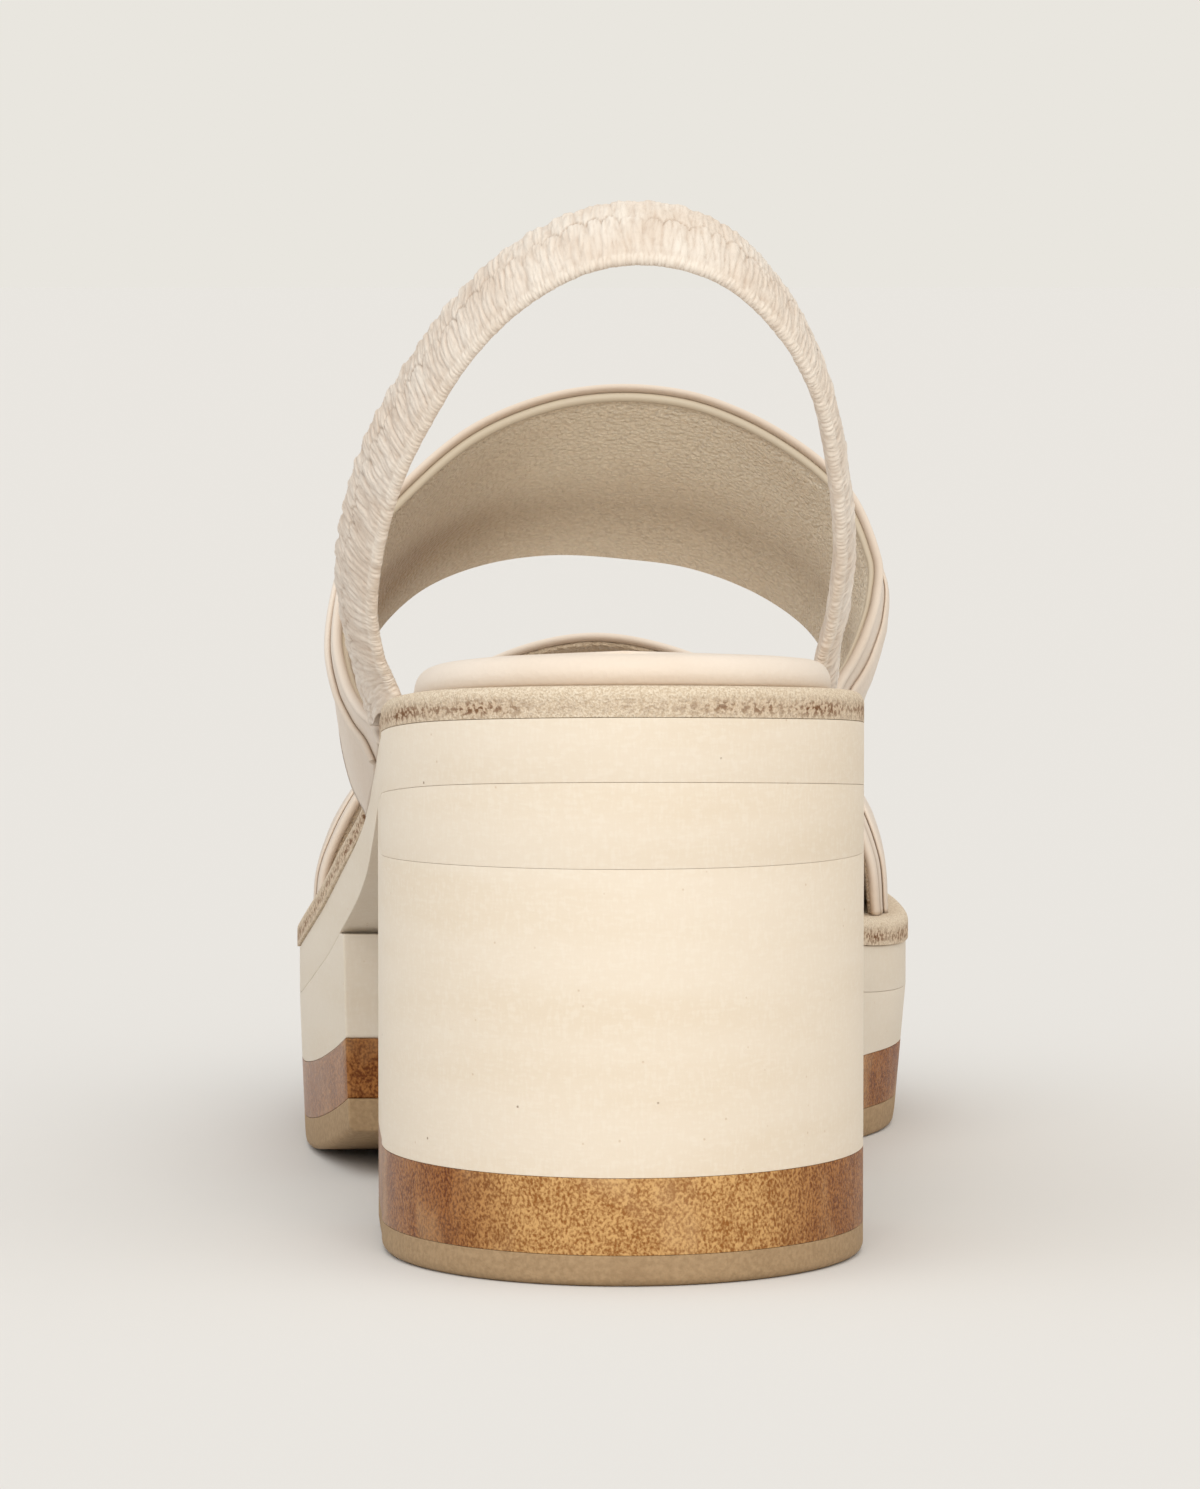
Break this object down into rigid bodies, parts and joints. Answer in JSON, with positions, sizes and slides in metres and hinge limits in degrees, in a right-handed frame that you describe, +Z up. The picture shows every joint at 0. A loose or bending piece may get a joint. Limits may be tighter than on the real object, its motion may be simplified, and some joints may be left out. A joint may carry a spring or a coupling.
{
  "type": "leather platform slingback sandal, left foot",
  "caption": "Cream leather platform sandal with a block heel, a wide instep band, a toe band and a ruched elastic slingback; left foot.",
  "frame": {"origin": "middle of the sole's length and breadth, on the floor", "axes": "+Z up, +Y from the heel to the toe, +X towards the medial side of this left shoe"},
  "size_m": [0.089, 0.243, 0.1345],
  "materials": {
    "painted_cream": "cream edge paint over stacked layers, satin, fine grain",
    "cream_leather": "smooth cream nappa leather, soft satin",
    "ruched_leather": "thin cream leather gathered over elastic",
    "raw_leather": "natural raw cut edge, fibrous, with dark flecks",
    "brown_leather": "waxed brown leather edge, mottled, slightly glossy",
    "tan_rubber": "matte tan rubber"
  },
  "bodies": {
    "root": {"forefoot_outsole": "tan_rubber", "forefoot_runner": "brown_leather", "platform_block": "painted_cream", "midsole": "painted_cream", "heel_wedge": "painted_cream", "heel_block": "painted_cream", "heel_lift": "brown_leather", "heel_top_piece": "tan_rubber", "insole_board": "raw_leather", "footbed": "cream_leather", "instep_band": "cream_leather", "toe_band": "cream_leather", "sling_strap": "ruched_leather"}
  },
  "joints": []
}
